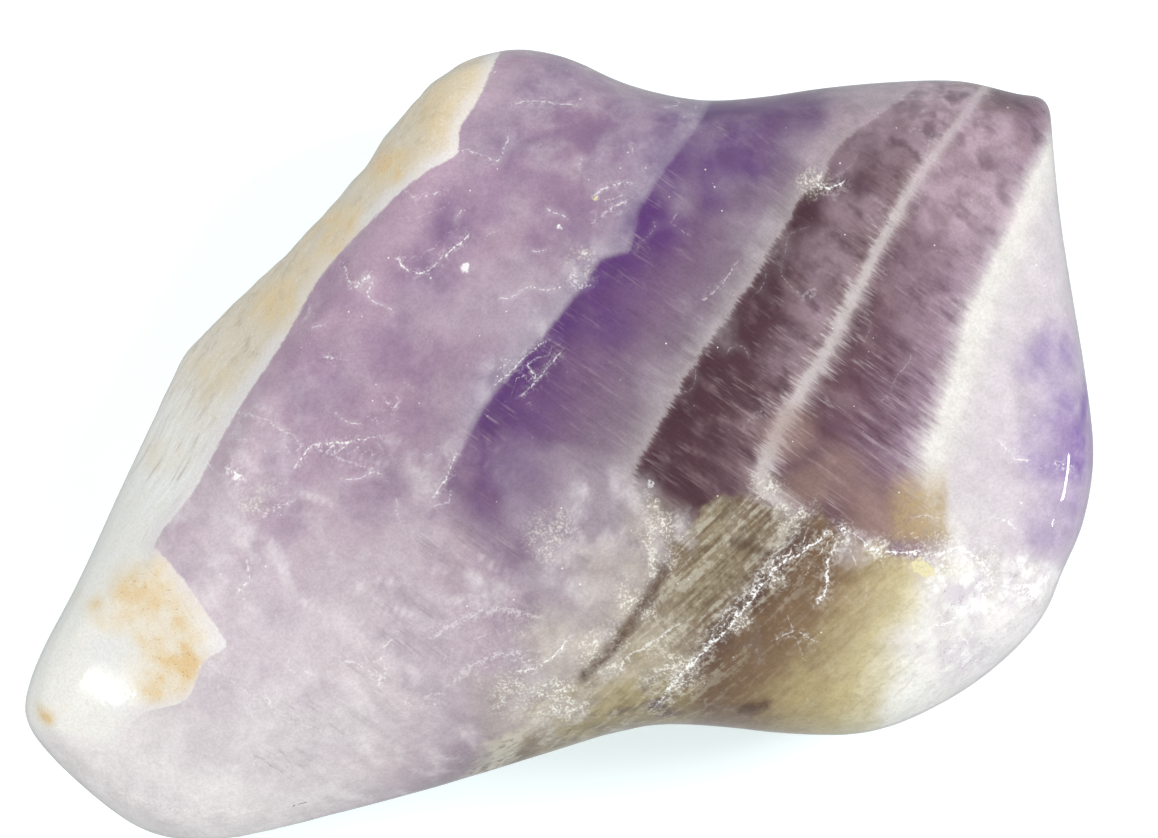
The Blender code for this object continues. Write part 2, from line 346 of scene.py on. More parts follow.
milk = (0.08 * lilac_side + 0.8 * patches("milk")) * milk_cloud * (1 - 0.85 * deep_side)
violet = patches("violet") * (0.62 + 0.38 * gentle(0.45, -0.3, cloudy(2.6, 22, 2)))
violet_band = gentle(1.0, 1.01, layer) * gentle(1.34, 1.03, layer) * gentle(-7.0, 0.0, seen[:, 0])
violet = np.maximum(violet, violet_band * (0.3 + 0.5 * gentle(-0.4, 0.4, cloudy(1.6, 40, 2))))
tail = gentle(-3.0, -8.0, seen[:, 0] + 1.5 * cloudy(2.6, 39, 2)) * gentle(0.55, 1.0, layer)
tail = tail * gentle(2.0, 1.5, layer)
deep = gentle(0.0, 0.5, cloudy(3.0, 36, 3)) * (0.2 * lilac_side + 0.15 * deep_side) * (1 - 0.6 * pale)
drift = gentle(0.0, 0.45, cloudy(6.5, 34, 3)) * (gentle(2.0, 1.85, layer) + gentle(4.0, 4.1, layer))
frost = patches("frost") * gentle(-0.45, 0.15, cloudy(0.9, 37, 3))
straw = patches("straw") * gentle(-0.5, 0.2, cloudy(1.6, 23, 3))
stain = patches("stain") * (0.5 + 0.5 * gentle(-0.5, 0.4, cloudy(1.2, 24, 3)))
stain = stain * (1 - gentle(12.0, 8.0, places[:, 2]) * gentle(0.25, -0.1, cloudy(2.6, 45, 2)))
clear = patches("clear") * gentle(-0.7, 0.2, cloudy(1.3, 25, 3))
snow = patches("clear") * gentle(-0.08, 0.25, cloudy(0.9, 26, 3))
in_rind = layer < 0.5
sheets_across = np.where(in_rind, layer * LAYER_THICKNESS, seen @ np.array(FAULT_SIDE))
sheets_along = np.where(in_rind, across_growth, seen @ np.array(FAULT_WAY))
rind_streaks = gentle(-3.0, -14.0, across_growth) * gentle(-23.5, -19.5, places[:, 0])
seam = np.zeros(count)
seam_sway = RAGGED_SEAM["reach"] * cloudy(RAGGED_SEAM["size"], 38, 2)
for points, half_width in SEAMS:
    gap, past = from_line(points)
    gap = np.abs(gap + seam_sway) + np.clip(past, 0, None)
    seam = np.maximum(seam, gentle(1.5 * half_width, 0.2 * half_width, gap))

# Healed fractures: cracks that closed again as the crystal grew, left as thin bright veils and soft swirls.
# Each is a line on the polished top, in millimetres, with its width and how strongly it shows.
FRACTURES = [
    (
        [(12.6, -10.0), (10.6, -10.5), (9.2, -10.7), (8.2, -11.2), (7.2, -11.8), (5.9, -12.5),
         (4.5, -13.2), (3.4, -13.6), (1.2, -14.7), (-0.3, -15.5)], 0.10, 1.0,
    ),
    (
        [(12.6, -10.0), (13.1, -10.0), (13.8, -10.9), (14.6, -12.0), (16.1, -12.7), (17.4, -13.4),
         (18.6, -13.5), (19.6, -14.5), (19.9, -16.0), (19.1, -16.7), (17.5, -17.0), (16.4, -17.1),
         (15.2, -16.9)], 0.10, 1.0,
    ),
    ([(11.0, -9.4), (8.9, -10.2), (7.2, -11.3), (5.6, -12.0), (3.7, -12.9)], 0.12, 0.4),
    ([(12.6, -10.8), (11.5, -12.0), (11.3, -12.8), (10.3, -13.5)], 0.09, 0.95),
    ([(-1.2, -12.9), (-0.3, -12.2), (1.4, -12.0), (3.3, -11.5)], 0.08, 0.55),
    ([(20.1, -16.5), (21.1, -16.8), (22.2, -17.1), (23.0, -16.8)], 0.16, 1.0),
    ([(20.8, -17.4), (21.7, -17.6), (22.3, -17.0)], 0.14, 1.0),
    ([(16.5, -18.2), (17.3, -18.4), (16.9, -19.1), (16.2, -19.4)], 0.06, 0.7),
    ([(18.0, -18.6), (18.6, -19.2)], 0.12, 0.9),
    ([(7.6, -14.4), (8.7, -14.5), (9.6, -15.3)], 0.07, 0.8),
    ([(-6.3, -10.7), (-5.6, -10.8), (-4.7, -10.8), (-2.9, -10.1)], 0.06, 0.9),
    ([(-13.4, 4.2), (-12.2, 5.0), (-10.6, 4.6), (-8.3, 4.0)], 0.045, 0.9),
    ([(-16.6, 9.4), (-13.8, 7.2), (-12.2, 5.0), (-9.3, 2.4)], 0.07, 0.3),
    ([(-6.8, 13.7), (-6.7, 12.5), (-5.4, 12.7)], 0.05, 0.8),
    ([(-3.9, 12.9), (-3.5, 11.9), (-2.7, 11.6), (-1.1, 12.1), (0.3, 12.6)], 0.05, 0.8),
    ([(0.6, 17.0), (2.0, 16.9), (3.1, 15.8)], 0.045, 0.6),
    ([(-2.1, 16.1), (-1.5, 15.4), (0.0, 15.3)], 0.045, 0.6),
    ([(5.2, 18.2), (6.9, 17.8), (8.4, 16.8)], 0.05, 0.55),
    ([(7.3, 12.0), (8.5, 12.1), (9.6, 11.8)], 0.05, 0.7),
    ([(6.8, 10.6), (8.0, 10.9), (9.0, 11.1)], 0.05, 0.6),
    ([(-9.7, 9.3), (-8.7, 8.7)], 0.045, 0.6),
    ([(-7.3, 5.8), (-7.3, 5.2), (-6.8, 5.4)], 0.045, 0.6),
    ([(-17.0, 5.6), (-16.6, 5.2), (-16.3, 4.7)], 0.12, 1.0),
    ([(-17.8, 0.5), (-18.1, -0.5), (-18.9, -0.9)], 0.045, 0.9),
    ([(-15.1, -6.3), (-14.1, -7.3), (-13.1, -8.7)], 0.045, 0.6),
    ([(-12.0, -6.5), (-12.9, -7.0), (-13.0, -8.0), (-13.8, -8.8)], 0.045, 0.6),
    ([(-16.4, 3.2), (-15.6, 2.5), (-14.3, 2.7)], 0.05, 0.6),
    ([(-19.5, -6.7), (-19.5, -7.5)], 0.05, 0.6),
    ([(-1.5, 4.3), (-0.4, 4.7), (1.0, 5.3), (2.1, 5.6)], 0.05, 0.7),
    ([(-0.4, 3.3), (1.3, 4.0), (2.6, 4.7)], 0.05, 0.6),
    ([(-0.7, 5.5), (0.2, 5.0), (1.1, 3.6)], 0.045, 0.6),
    ([(-7.0, -0.2), (-5.9, 0.6), (-4.9, 1.8)], 0.05, 0.7),
    ([(23.1, -8.9), (23.4, -9.9), (24.2, -10.6)], 0.045, 0.8),
    ([(24.5, -11.2), (25.5, -11.1), (26.4, -11.8)], 0.045, 0.7),
    ([(20.6, -12.9), (21.5, -12.9), (22.3, -13.9)], 0.045, 0.6),
    ([(18.9, 8.0), (19.6, 7.5), (20.6, 7.6)], 0.08, 0.9),
    ([(10.7, 4.5), (12.0, 4.8), (13.4, 5.6)], 0.045, 0.4),
    ([(16.8, -10.9), (18.6, -11.6)], 0.025, 0.5),
    ([(-10.1, -7.3), (-8.1, -6.9), (-5.9, -7.2), (-4.0, -8.5)], 0.2, 0.3),
    ([(-12.8, -9.8), (-10.6, -10.1), (-7.9, -9.4), (-5.2, -9.9)], 0.2, 0.3),
    ([(-31.1, -6.8), (-29.0, -8.7), (-26.3, -10.8), (-22.5, -12.4)], 0.1, 0.4),
    ([(-22.6, -2.3), (-20.0, -6.9), (-16.7, -10.6)], 0.14, 0.2),
]
FRACTURE_REACH = 1.6
SCRATCH = [(-20.8, -13.1), (-20.3, -13.0), (-19.7, -13.1)]
# Bright flaws: middle in millimetres and radius, then whether they are gold.
BRIGHT_FLAWS = [
    ((-0.6, 10.9), 0.3, 0), ((8.4, 16.9), 0.14, 1), ((7.5, 11.8), 0.14, 1), ((-4.9, 12.6), 0.13, 1),
    ((-16.6, 5.0), 0.2, 0), ((17.6, -16.8), 0.3, 0), ((21.7, -17.3), 0.3, 0), ((22.9, -12.6), 0.16, 0),
    ((5.0, 11.1), 0.12, 0), ((16.4, -13.6), 0.42, 1), ((16.7, -14.1), 0.36, 1), ((4.4, -3.9), 0.2, 0),
]


def near_fractures():
    """Distance to the nearest fracture, with that fracture's width and how strongly it shows there."""
    nearest, width_there, show = np.full(count, 9.0), np.full(count, 0.1), np.zeros(count)
    for points, width, strength in FRACTURES:
        gap, past = from_line(points)
        nearer = np.abs(gap) + np.clip(past, 0, None) < np.abs(nearest)
        nearest = np.where(nearer, gap, nearest)
        width_there = np.where(nearer, width, width_there)
        show = np.where(nearer, strength * gentle(0.3, -0.4, past), show)
    in_reach = 1 - gentle(0.6, 1.0, np.abs(nearest) / FRACTURE_REACH)
    sway = RAGGED_FRACTURE["reach"] * cloudy(RAGGED_FRACTURE["size"], 27, 3)
    return nearest + sway, width_there, show * in_reach * (1 - 0.5 * gentle(0, 8, depth))


def flaw_distance(golden):
    """Distance to the nearest bright flaw that is gold (1) or white (0), below 0 inside it."""
    chosen = [(np.array(at), size) for at, size, gold in BRIGHT_FLAWS if gold == golden]
    return np.min([np.linalg.norm(seen - at, axis=1) - size for at, size in chosen], axis=0)


veil_gap, veil_width, veil_show = near_fractures()
scratch_gap, past = from_line(SCRATCH)
scratch_gap = np.abs(scratch_gap) + np.clip(past, 0, None)

# Wisps: threads that curl through the crystal, bright where a sheet of bubbles is seen edge on. They lie
# where their noise crosses zero, in the few places where a second noise lets them show.
wisp_gap = cloudy(3.1, 28, 2)
wisp_show = gentle(0.2, 0.42, cloudy(2.4, 29, 2)) * (0.25 + 0.75 * lilac_side)

# Folds: soft wavy sheets of milk in the pale end, where the crystal grew in slightly turned blocks.
folded = np.column_stack([
    across_growth / 1.7 + 1.1 * cloudy(5.0, 41), places[:, 2] / 5.0,
    layer * LAYER_THICKNESS / 4.2 + 1.1 * cloudy(5.0, 42),
])
folds = 1 - gentle(0.0, 0.2, np.abs(cloudy(1.0, 43, 2, folded)))
folds = folds * gentle(-3.0, 7.0, towards_tip) * gentle(1.95, 1.7, layer)
folds = folds * gentle(-0.35, 0.3, cloudy(3.5, 44, 2))

# The wheel's waves, the rind's lumps and the chips move the skin in or out, and each vertex keeps its fields.
# The chips lie above the first level. The skin is still up to the second and moves in full from the third.
CHIPS_ABOVE = 6
FOOT_STILL, FOOT_EASED = 0.1, 0.6
lift = WHEEL_WAVE["height"] * cloudy(WHEEL_WAVE["size"], 5)
unpolished = gentle(0.02, -0.2, layer) * gentle(-22.0, -17.0, places[:, 0])
lift += RIND_LUMPS["height"] * cloudy(RIND_LUMPS["size"], 6) * unpolished
for middle, radius, hollow in SHELL_CHIPS:
    gap = np.linalg.norm(places[:, :2] - np.array(middle), axis=1) / radius
    lift -= hollow * np.clip(1 - gap**2, 0, 1) * (places[:, 2] > CHIPS_ABOVE)
on_foot = gentle(FOOT_EASED, FOOT_STILL, places[:, 2])
moved = places + facing * (lift * (1 - on_foot))[:, None]
moved[:, 2] = np.maximum(moved[:, 2], 0)
body_mesh.vertices.foreach_set("co", (moved * MM).astype(np.float32).ravel())

FIELDS = dict(
    layer=layer + 0.02 * cloudy(1.9, 31, 2) * gentle(1.02, 1.3, layer), across_growth=across_growth,
    reach=reach, locks=locks, hairs=hairs, lock=drawn_out(0.9, 2.4, 32), drift=drift, tail=tail,
    sheets_across=sheets_across, sheets_along=sheets_along, rind_streaks=rind_streaks, smoky=smoky,
    pale=pale, square=square, milk=milk, haze=patches("haze"), tea=patches("tea"), violet=violet,
    deep=deep, frost=frost, straw=straw, stain=stain, cream=patches("cream"), folds=folds,
    unpolished=unpolished, clear=clear, snow=snow, glass=patches("glass"), seam=seam, veil_gap=veil_gap,
    veil_width=veil_width, veil_show=veil_show, wisp_gap=wisp_gap, wisp_show=wisp_show,
    flaw_gap=flaw_distance(0), gold_gap=flaw_distance(1), scratch_gap=scratch_gap,
)
for name, values in FIELDS.items():
    body_mesh.attributes.new(name, "FLOAT", "POINT").data.foreach_set("value", values.astype(np.float32))
body_mesh.update()
body_mesh.shade_smooth()

# The stone's finish: milky quartz coloured in its layers, with silky fibres across them, and polished.
# Its colours are given as a screen shows them, with the polish's sheen over them, which colour() takes off.
SHEEN = 0.03
DARKEST = 0.004
QUARTZ_IOR = 1.54
SEE_THROUGH = 0.2
SKIN_STRENGTH = 0.5
SKIN_DEPTH = 0.05 * MM


def place_node(tree, kind, **settings):
    """Adds a shader node, with its settings and the values of its inputs, by name or by number."""
    made = tree.nodes.new("ShaderNode" + kind)
    values = settings.pop("inputs", {})
    for key, value in settings.items():
        setattr(made, key, value)
    for key, value in values.items():
        if isinstance(value, bpy.types.NodeSocket):
            tree.links.new(value, made.inputs[key])
        else:
            made.inputs[key].default_value = value
    return made


def calculate(tree, operation, *values):
    return place_node(tree, "Math", operation=operation, inputs=dict(enumerate(values))).outputs[0]


def product(tree, *values):
    total = values[0]
    for value in values[1:]:
        total = calculate(tree, "MULTIPLY", total, value)
    return total


def offset_by(tree, value, wobble, amount):
    """A value moved to and fro by a noise about 0.5."""
    return calculate(tree, "MULTIPLY_ADD", calculate(tree, "SUBTRACT", wobble, 0.5), amount, value)


def span(tree, value, low, high, to_low=0.0, to_high=1.0, kind="SMOOTHSTEP"):
    given = {"Value": value, "From Min": low, "From Max": high, "To Min": to_low, "To Max": to_high}
    return place_node(tree, "MapRange", interpolation_type=kind, inputs=given).outputs["Result"]


def colour(red, green, blue):
    """A colour as a screen shows it, 0 to 255, made linear and without the sheen."""
    shown = [v / 255 for v in (red, green, blue)]
    linear = [v / 12.92 if v <= 0.04 else ((v + 0.055) / 1.055) ** 2.4 for v in shown]
    return (*(max(v - SHEEN, DARKEST) for v in linear), 1.0)


def tint(tree, under, over, share):
    """Lays one colour over another by a share from 0 to 1."""
    over = colour(*over) if isinstance(over, tuple) else over
    mix = place_node(tree, "Mix", data_type="RGBA", clamp_factor=True, inputs={0: share, 6: under, 7: over})
    return mix.outputs[2]


def shade(tree, under, amount):
    """Darkens or lightens a colour by a number about 1."""
    grey = place_node(tree, "CombineColor", inputs={0: amount, 1: amount, 2: amount}).outputs[0]
    mix = place_node(tree, "Mix", data_type="RGBA", blend_type="MULTIPLY", inputs={0: 1.0, 6: under, 7: grey})
    return mix.outputs[2]


def field(name):
    return place_node(tree, "Attribute", attribute_name=name).outputs["Fac"]


def layer_colours(tree, layer_in, stops):
    """Colours that change from layer to layer, from stops of layer and colour."""
    first, last = stops[0][0], stops[-1][0]
    ramp = place_node(tree, "ValToRGB", inputs={0: span(tree, layer_in, first, last, kind="LINEAR")})
    for _ in range(len(stops) - 2):
        ramp.color_ramp.elements.new(0.5)
    for element, (at, shown) in zip(ramp.color_ramp.elements, stops):
        element.position = (at - first) / (last - first)
        element.color = colour(*shown)
    return ramp.outputs["Color"]


def new_effect(name, output, **inputs):
    """A node group with one output and named number inputs, which are given their usual values."""
    group = bpy.data.node_groups.new(name, "ShaderNodeTree")
    for key, usual in inputs.items():
        group.interface.new_socket(key, in_out="INPUT", socket_type="NodeSocketFloat").default_value = usual
    group.interface.new_socket(output, in_out="OUTPUT", socket_type="NodeSocketFloat")
    given = group.nodes.new("NodeGroupInput").outputs
    return group, given, group.nodes.new("NodeGroupOutput").inputs[output]


def use_effect(tree, group, **inputs):
    made = tree.nodes.new("ShaderNodeGroup")
    made.node_tree = group
    for key, value in inputs.items():
        if isinstance(value, bpy.types.NodeSocket):
            tree.links.new(value, made.inputs[key])
        else:
            made.inputs[key].default_value = value
    return made.outputs[0]


# Grain: soft noise about 0.5, with patches of a size in millimetres and some finer octaves in them.
grain, given, out = new_effect("quartz_grain", "Grain", Size=1.0, Seed=0.0, Octaves=1.0)
found = place_node(grain, "TexCoord").outputs["Object"]
per_mm = calculate(grain, "DIVIDE", 1 / MM, given["Size"])
found = place_node(grain, "VectorMath", operation="SCALE", inputs={0: found, "Scale": per_mm}).outputs[0]
found = place_node(grain, "VectorMath", operation="ADD", inputs={0: found, 1: given["Seed"]}).outputs[0]
mottle = {"Vector": found, "Scale": 1.0, "Detail": given["Octaves"], "Roughness": 0.65}
grain.links.new(place_node(grain, "TexNoise", inputs=mottle).outputs["Fac"], out)

# Silk: fine fibres drawn out one way and narrow the other, from two distances on the stone in millimetres.
weave = dict(Across=0.0, Along=0.0, Spacing=0.3, Length=1.0, Seed=0.0)
silk, given, out = new_effect("silky_fibres", "Fibre", **weave)
found = place_node(silk, "TexCoord").outputs["Object"]
upward = place_node(silk, "SeparateXYZ", inputs={0: found}).outputs["Z"]
sideways = calculate(silk, "DIVIDE", given["Across"], given["Spacing"])
level = calculate(silk, "DIVIDE", upward, calculate(silk, "MULTIPLY", given["Spacing"], 4 * MM))
onward = calculate(silk, "ADD", calculate(silk, "DIVIDE", given["Along"], given["Length"]), given["Seed"])
woven = place_node(silk, "CombineXYZ", inputs={0: sideways, 1: level, 2: onward}).outputs[0]
threads = {"Vector": woven, "Scale": 1.0, "Detail": 2.0, "Roughness": 0.6}
silk.links.new(place_node(silk, "TexNoise", inputs=threads).outputs["Fac"], out)

# Veils: the bright, ragged face of a healed fracture, from how far a point is from it and from two grains.
veils, given, out = new_effect("healed_fracture", "Veil", Gap=1.0, Width=0.1, Show=1.0, Grain=0.5, Grit=0.5)
gap = calculate(veils, "ABSOLUTE", offset_by(veils, given["Gap"], given["Grain"], 0.3))
spread = calculate(veils, "MULTIPLY", given["Width"], span(veils, given["Grain"], 0.36, 0.66, 0.2, 2.0))
spread = calculate(veils, "DIVIDE", gap, spread)
halo = product(veils, span(veils, spread, 6.0, 0.5), 0.2)
flecks = span(veils, given["Grit"], 0.38, 0.56, 0.1, 1.0)
bright = calculate(veils, "MAXIMUM", span(veils, spread, 1.0, 0.3), halo)
veils.links.new(product(veils, bright, flecks, given["Show"]), out)

# Crackle: a web of fine cracks round chipped quartz.
crackle, given, out = new_effect("fine_crackle", "Crack", Size=1.0, Width=0.05, Wobble=0.5, Torn=0.5)
found = place_node(crackle, "TexCoord").outputs["Object"]
found = place_node(crackle, "VectorMath", operation="SCALE", inputs={0: found, "Scale": 1 / MM}).outputs[0]
stir = calculate(crackle, "MULTIPLY", given["Wobble"], given["Torn"])
torn = place_node(crackle, "VectorMath", operation="ADD", inputs={0: found, 1: stir}).outputs[0]
cells = {"Vector": torn, "Scale": calculate(crackle, "DIVIDE", 1.0, given["Size"])}
cells = place_node(crackle, "TexVoronoi", feature="DISTANCE_TO_EDGE", inputs=cells).outputs["Distance"]
crackle.links.new(span(crackle, cells, given["Width"], 0.0), out)

# Glints: painted highlights, pin-point white flecks where tiny inner cracks would catch the light.
glints, given, out = new_effect("painted_glints", "Glint", Cell=0.8, Radius=0.07, Share=0.25)
found = place_node(glints, "TexCoord").outputs["Object"]
cells = {"Vector": found, "Scale": calculate(glints, "DIVIDE", 1 / MM, given["Cell"])}
cells = place_node(glints, "TexVoronoi", inputs=cells).outputs
lot = place_node(glints, "SeparateColor", inputs={0: cells["Color"]}).outputs
size = calculate(glints, "DIVIDE", given["Radius"], given["Cell"])
size = product(glints, size, span(glints, lot[1], 0.0, 1.0, 0.35, 1.4))
dot = span(glints, calculate(glints, "DIVIDE", cells["Distance"], size), 1.0, 0.4)
chosen = calculate(glints, "LESS_THAN", lot[0], given["Share"])
glints.links.new(product(glints, dot, chosen), out)

amethyst = bpy.data.materials.new("banded_amethyst")
amethyst.use_nodes = True
tree = amethyst.node_tree
gem = tree.nodes["Principled BSDF"]

layer_at = field("layer")
across = field("across_growth")
onward = calculate(tree, "MULTIPLY", layer_at, LAYER_THICKNESS)
hair = use_effect(tree, silk, Across=across, Along=onward, Spacing=0.12, Length=1.5)
tuft = use_effect(tree, silk, Across=across, Along=onward, Spacing=0.4, Length=1.6, Seed=4.0)
sheets = dict(Across=field("sheets_across"), Along=field("sheets_along"))
drawn = use_effect(tree, silk, Spacing=0.32, Length=3.4, Seed=13.0, **sheets)
swirl = use_effect(tree, grain, Size=1.5, Seed=8.0, Octaves=2.0)
speckle = use_effect(tree, grain, Size=0.36, Seed=3.0, Octaves=2.0)
grit = use_effect(tree, grain, Size=0.14, Seed=5.0, Octaves=1.0)

# The fibres carry the layers' edges to and fro: hardly at the first line, and most about the third.
strands = calculate(tree, "MULTIPLY_ADD", tuft, 0.6, calculate(tree, "SUBTRACT", hair, 0.8))
carried = calculate(tree, "MULTIPLY_ADD", strands, field("reach"), layer_at)

VIOLET_LAYERS = [
    (-0.1, (190, 164, 180)), (0.1, (182, 156, 174)), (0.35, (172, 147, 166)), (0.6, (168, 143, 161)),
    (0.85, (162, 142, 160)), (0.95, (168, 156, 170)), (0.992, (174, 164, 176)), (1.004, (116, 91, 123)),
    (1.04, (104, 78, 115)), (1.25, (118, 92, 122)), (1.55, (130, 109, 130)), (1.8, (138, 122, 136)),
    (1.92, (156, 145, 150)), (1.985, (170, 160, 162)), (2.015, (104, 84, 88)),
    (2.06, (84, 63, 70)), (2.45, (92, 70, 76)), (2.72, (112, 91, 97)), (2.86, (136, 117, 121)),
    (2.91, (160, 145, 147)), (2.955, (200, 190, 189)), (3.025, (198, 188, 187)), (3.08, (146, 128, 133)),
    (3.14, (108, 85, 92)), (3.4, (112, 87, 98)), (3.62, (134, 110, 124)), (3.8, (160, 139, 153)),
    (3.9, (198, 187, 191)), (3.96, (230, 226, 221)), (4.06, (230, 226, 221)), (4.16, (216, 209, 211)),
    (5.2, (198, 184, 202)),
]
SMOKY_LAYERS = [
    (1.85, (196, 188, 174)), (1.98, (204, 198, 184)), (2.005, (146, 132, 108)), (2.05, (114, 96, 72)),
    (2.15, (122, 105, 82)), (2.3, (146, 133, 110)), (2.5, (150, 139, 117)), (2.7, (138, 124, 104)),
    (2.86, (138, 124, 108)), (2.92, (160, 150, 138)), (2.97, (106, 87, 82)), (3.02, (110, 90, 80)),
    (3.1, (122, 101, 83)), (3.35, (134, 112, 90)), (3.55, (172, 155, 120)), (3.76, (202, 189, 150)),
    (3.92, (224, 216, 188)), (4.02, (242, 239, 229)), (4.15, (246, 244, 238)), (5.2, (228, 220, 228)),
]
body = layer_colours(tree, carried, VIOLET_LAYERS)

# The tail of the deep violet band is lost in milky crystal, and towards the near left the lilac goes pale,
# with soft folds of milk in it.
body = tint(tree, body, (168, 147, 160), product(tree, field("tail"), span(tree, swirl, 0.3, 0.6, 0.85, 1.0)))
body = tint(tree, body, (236, 230, 229), product(tree, field("pale"), 0.97))
fold_share = product(tree, field("folds"), span(tree, swirl, 0.3, 0.65, 0.1, 0.5))
body = tint(tree, body, (238, 233, 233), fold_share)

# Broad drifts of paler crystal, patches of deeper violet, painted lighter and bluer at the right end for the
# light that shines through the rim there, and a pink haze.
body = tint(tree, body, (204, 194, 200), product(tree, field("drift"), 0.3))
body = tint(tree, body, (122, 94, 134), product(tree, field("deep"), span(tree, swirl, 0.3, 0.7, 1.2, 0.7)))
# The crystal's own violet, painted lighter and bluer past the fourth line, where light shines through the
# right rim.
violet = tint(tree, colour(98, 66, 122), (122, 84, 166), span(tree, layer_at, 3.8, 4.1))
body = tint(tree, body, violet, product(tree, field("violet"), span(tree, swirl, 0.7, 0.4, 0.6, 0.9)))
hazy = product(tree, field("haze"), span(tree, swirl, 0.3, 0.6, 0.5, 0.85))
body = tint(tree, body, (196, 174, 186), hazy)

# The dark bands are mottled along the growth, with light and dark locks of fibre, and hairs near the lines.
lock = offset_by(tree, field("lock"), tuft, 0.9)
body = tint(tree, body, (148, 126, 131), product(tree, span(tree, lock, -0.05, 0.8), field("locks"), 0.65))
body = tint(tree, body, (78, 56, 65), product(tree, span(tree, lock, 0.0, -0.7), field("locks"), 0.6))
clumped = offset_by(tree, hair, tuft, 0.8)
body = tint(tree, body, (196, 184, 186), product(tree, span(tree, clumped, 0.54, 0.8), field("hairs"), 0.75))
dark_hairs = product(tree, field("hairs"), span(tree, layer_at, 4.05, 3.7, 0.0, 0.6))
body = tint(tree, body, (84, 60, 74), product(tree, span(tree, clumped, 0.46, 0.22), dark_hairs))
body = tint(tree, body, (160, 135, 124), product(tree, field("tea"), 0.8))

# The smoky part: brown and grey sheets along the fault, and a smooth olive sector past them.
sheet_show = span(tree, layer_at, 3.3, 2.9, 0.15, 0.8)
sheet_reach = product(tree, sheet_show, 0.3)
smoky_layer = calculate(tree, "MULTIPLY_ADD", calculate(tree, "SUBTRACT", drawn, 0.5), sheet_reach, layer_at)
smoky_layer = offset_by(tree, smoky_layer, swirl, 0.16)
smoky_body = layer_colours(tree, smoky_layer, SMOKY_LAYERS)
fuzz = offset_by(tree, drawn, speckle, 0.5)
pale_fuzz = product(tree, span(tree, fuzz, 0.5, 0.66), sheet_show, 0.8)
smoky_body = tint(tree, smoky_body, (192, 186, 170), pale_fuzz)
dark_fuzz = product(tree, span(tree, fuzz, 0.49, 0.34), sheet_show, 0.8)
smoky_body = tint(tree, smoky_body, (106, 88, 76), dark_fuzz)
smoky_edge = offset_by(tree, field("smoky"), swirl, 0.9)
body = tint(tree, body, smoky_body, span(tree, smoky_edge, 0.2, 0.8))
body = tint(tree, body, (186, 172, 124), product(tree, field("straw"), 0.6))
square_share = product(tree, field("square"), span(tree, speckle, 0.3, 0.7, 0.6, 0.9))
body = tint(tree, body, (180, 158, 118), square_share)

# Milk and bubbles: soft clouds, curling wisps, and frost where the crystal is full of broken sheets.
milky = product(tree, field("milk"), span(tree, speckle, 0.3, 0.7, 0.85, 1.15))
body = tint(tree, body, (220, 214, 216), milky)
wisp_near = calculate(tree, "ABSOLUTE", offset_by(tree, field("wisp_gap"), speckle, 0.05))
wisp = product(tree, span(tree, wisp_near, 0.03, 0.0), field("wisp_show"), span(tree, grit, 0.42, 0.6))
wisp_haze = product(tree, span(tree, wisp_near, 0.2, 0.0), field("wisp_show"), 0.15)
body = tint(tree, body, (238, 232, 235), calculate(tree, "MAXIMUM", product(tree, wisp, 0.85), wisp_haze))
body = tint(tree, body, (196, 187, 172), product(tree, field("cream"), span(tree, swirl, 0.3, 0.7, 0.5, 0.8)))
frost_share = product(tree, field("frost"), span(tree, speckle, 0.3, 0.6, 0.3, 0.7))
body = tint(tree, body, (198, 190, 176), frost_share)
frosty = span(tree, offset_by(tree, grit, speckle, 0.4), 0.5, 0.64, 0.0, 0.95)
body = tint(tree, body, (244, 242, 234), product(tree, field("frost"), frosty))
seams = product(tree, field("seam"), span(tree, speckle, 0.3, 0.6, 0.5, 0.85))
body = tint(tree, body, (92, 72, 62), seams)
body = shade(tree, body, span(tree, swirl, 0.3, 0.7, 0.95, 1.05))
body = shade(tree, body, span(tree, speckle, 0.3, 0.7, 0.965, 1.035))
body = shade(tree, body, span(tree, grit, 0.3, 0.7, 0.94, 1.05))

# Clear quartz among the chips, crazed with fine cracks.
body = tint(tree, body, (216, 207, 216), product(tree, field("clear"), 0.8))
snowy = product(tree, field("snow"), span(tree, speckle, 0.35, 0.6, 0.4, 1.0))
body = tint(tree, body, (250, 249, 246), snowy)
cracks = use_effect(tree, crackle, Size=0.8, Width=0.06, Wobble=speckle, Torn=1.6)
crack_share = product(tree, field("clear"), cracks, span(tree, grit, 0.4, 0.6), 0.7)
body = tint(tree, body, (150, 136, 150), crack_share)

# The rind: cream and grainy above, chalky white and streaked along its length below, with rusty stains and
# a white inner edge.
rind_share = span(tree, offset_by(tree, layer_at, speckle, 0.03), 0.006, -0.012)
cream = span(tree, across, -14.0, -3.0)
streaks = field("rind_streaks")
rind = tint(tree, colour(246, 244, 238), (228, 216, 194), cream)
rind = tint(tree, rind, (252, 252, 248), product(tree, span(tree, drawn, 0.46, 0.64), streaks))
rind = tint(tree, rind, (206, 192, 188), product(tree, span(tree, drawn, 0.44, 0.28), streaks, 0.8))
rind = tint(tree, rind, (204, 184, 154), product(tree, span(tree, swirl, 0.48, 0.3), cream, 0.6))
rind = tint(tree, rind, (242, 235, 222), product(tree, span(tree, speckle, 0.54, 0.7), 0.6))
rind = tint(tree, rind, (238, 233, 232), product(tree, span(tree, layer_at, -0.13, -0.03), 0.85))
rusty = product(tree, field("stain"), span(tree, swirl, 0.3, 0.6, 0.75, 1.1))
rind = tint(tree, rind, (238, 214, 166), product(tree, rusty, 0.9))
rind = tint(tree, rind, (236, 200, 148), product(tree, span(tree, rusty, 0.6, 1.05), 0.55))
rind = tint(tree, rind, (158, 106, 70), product(tree, field("stain"), span(tree, grit, 0.6, 0.72), 0.6))
rind = tint(tree, rind, (238, 238, 236), product(tree, field("glass"), 0.8))
rind = shade(tree, rind, span(tree, grit, 0.3, 0.7, 0.93, 1.04))
body = tint(tree, body, rind, rind_share)
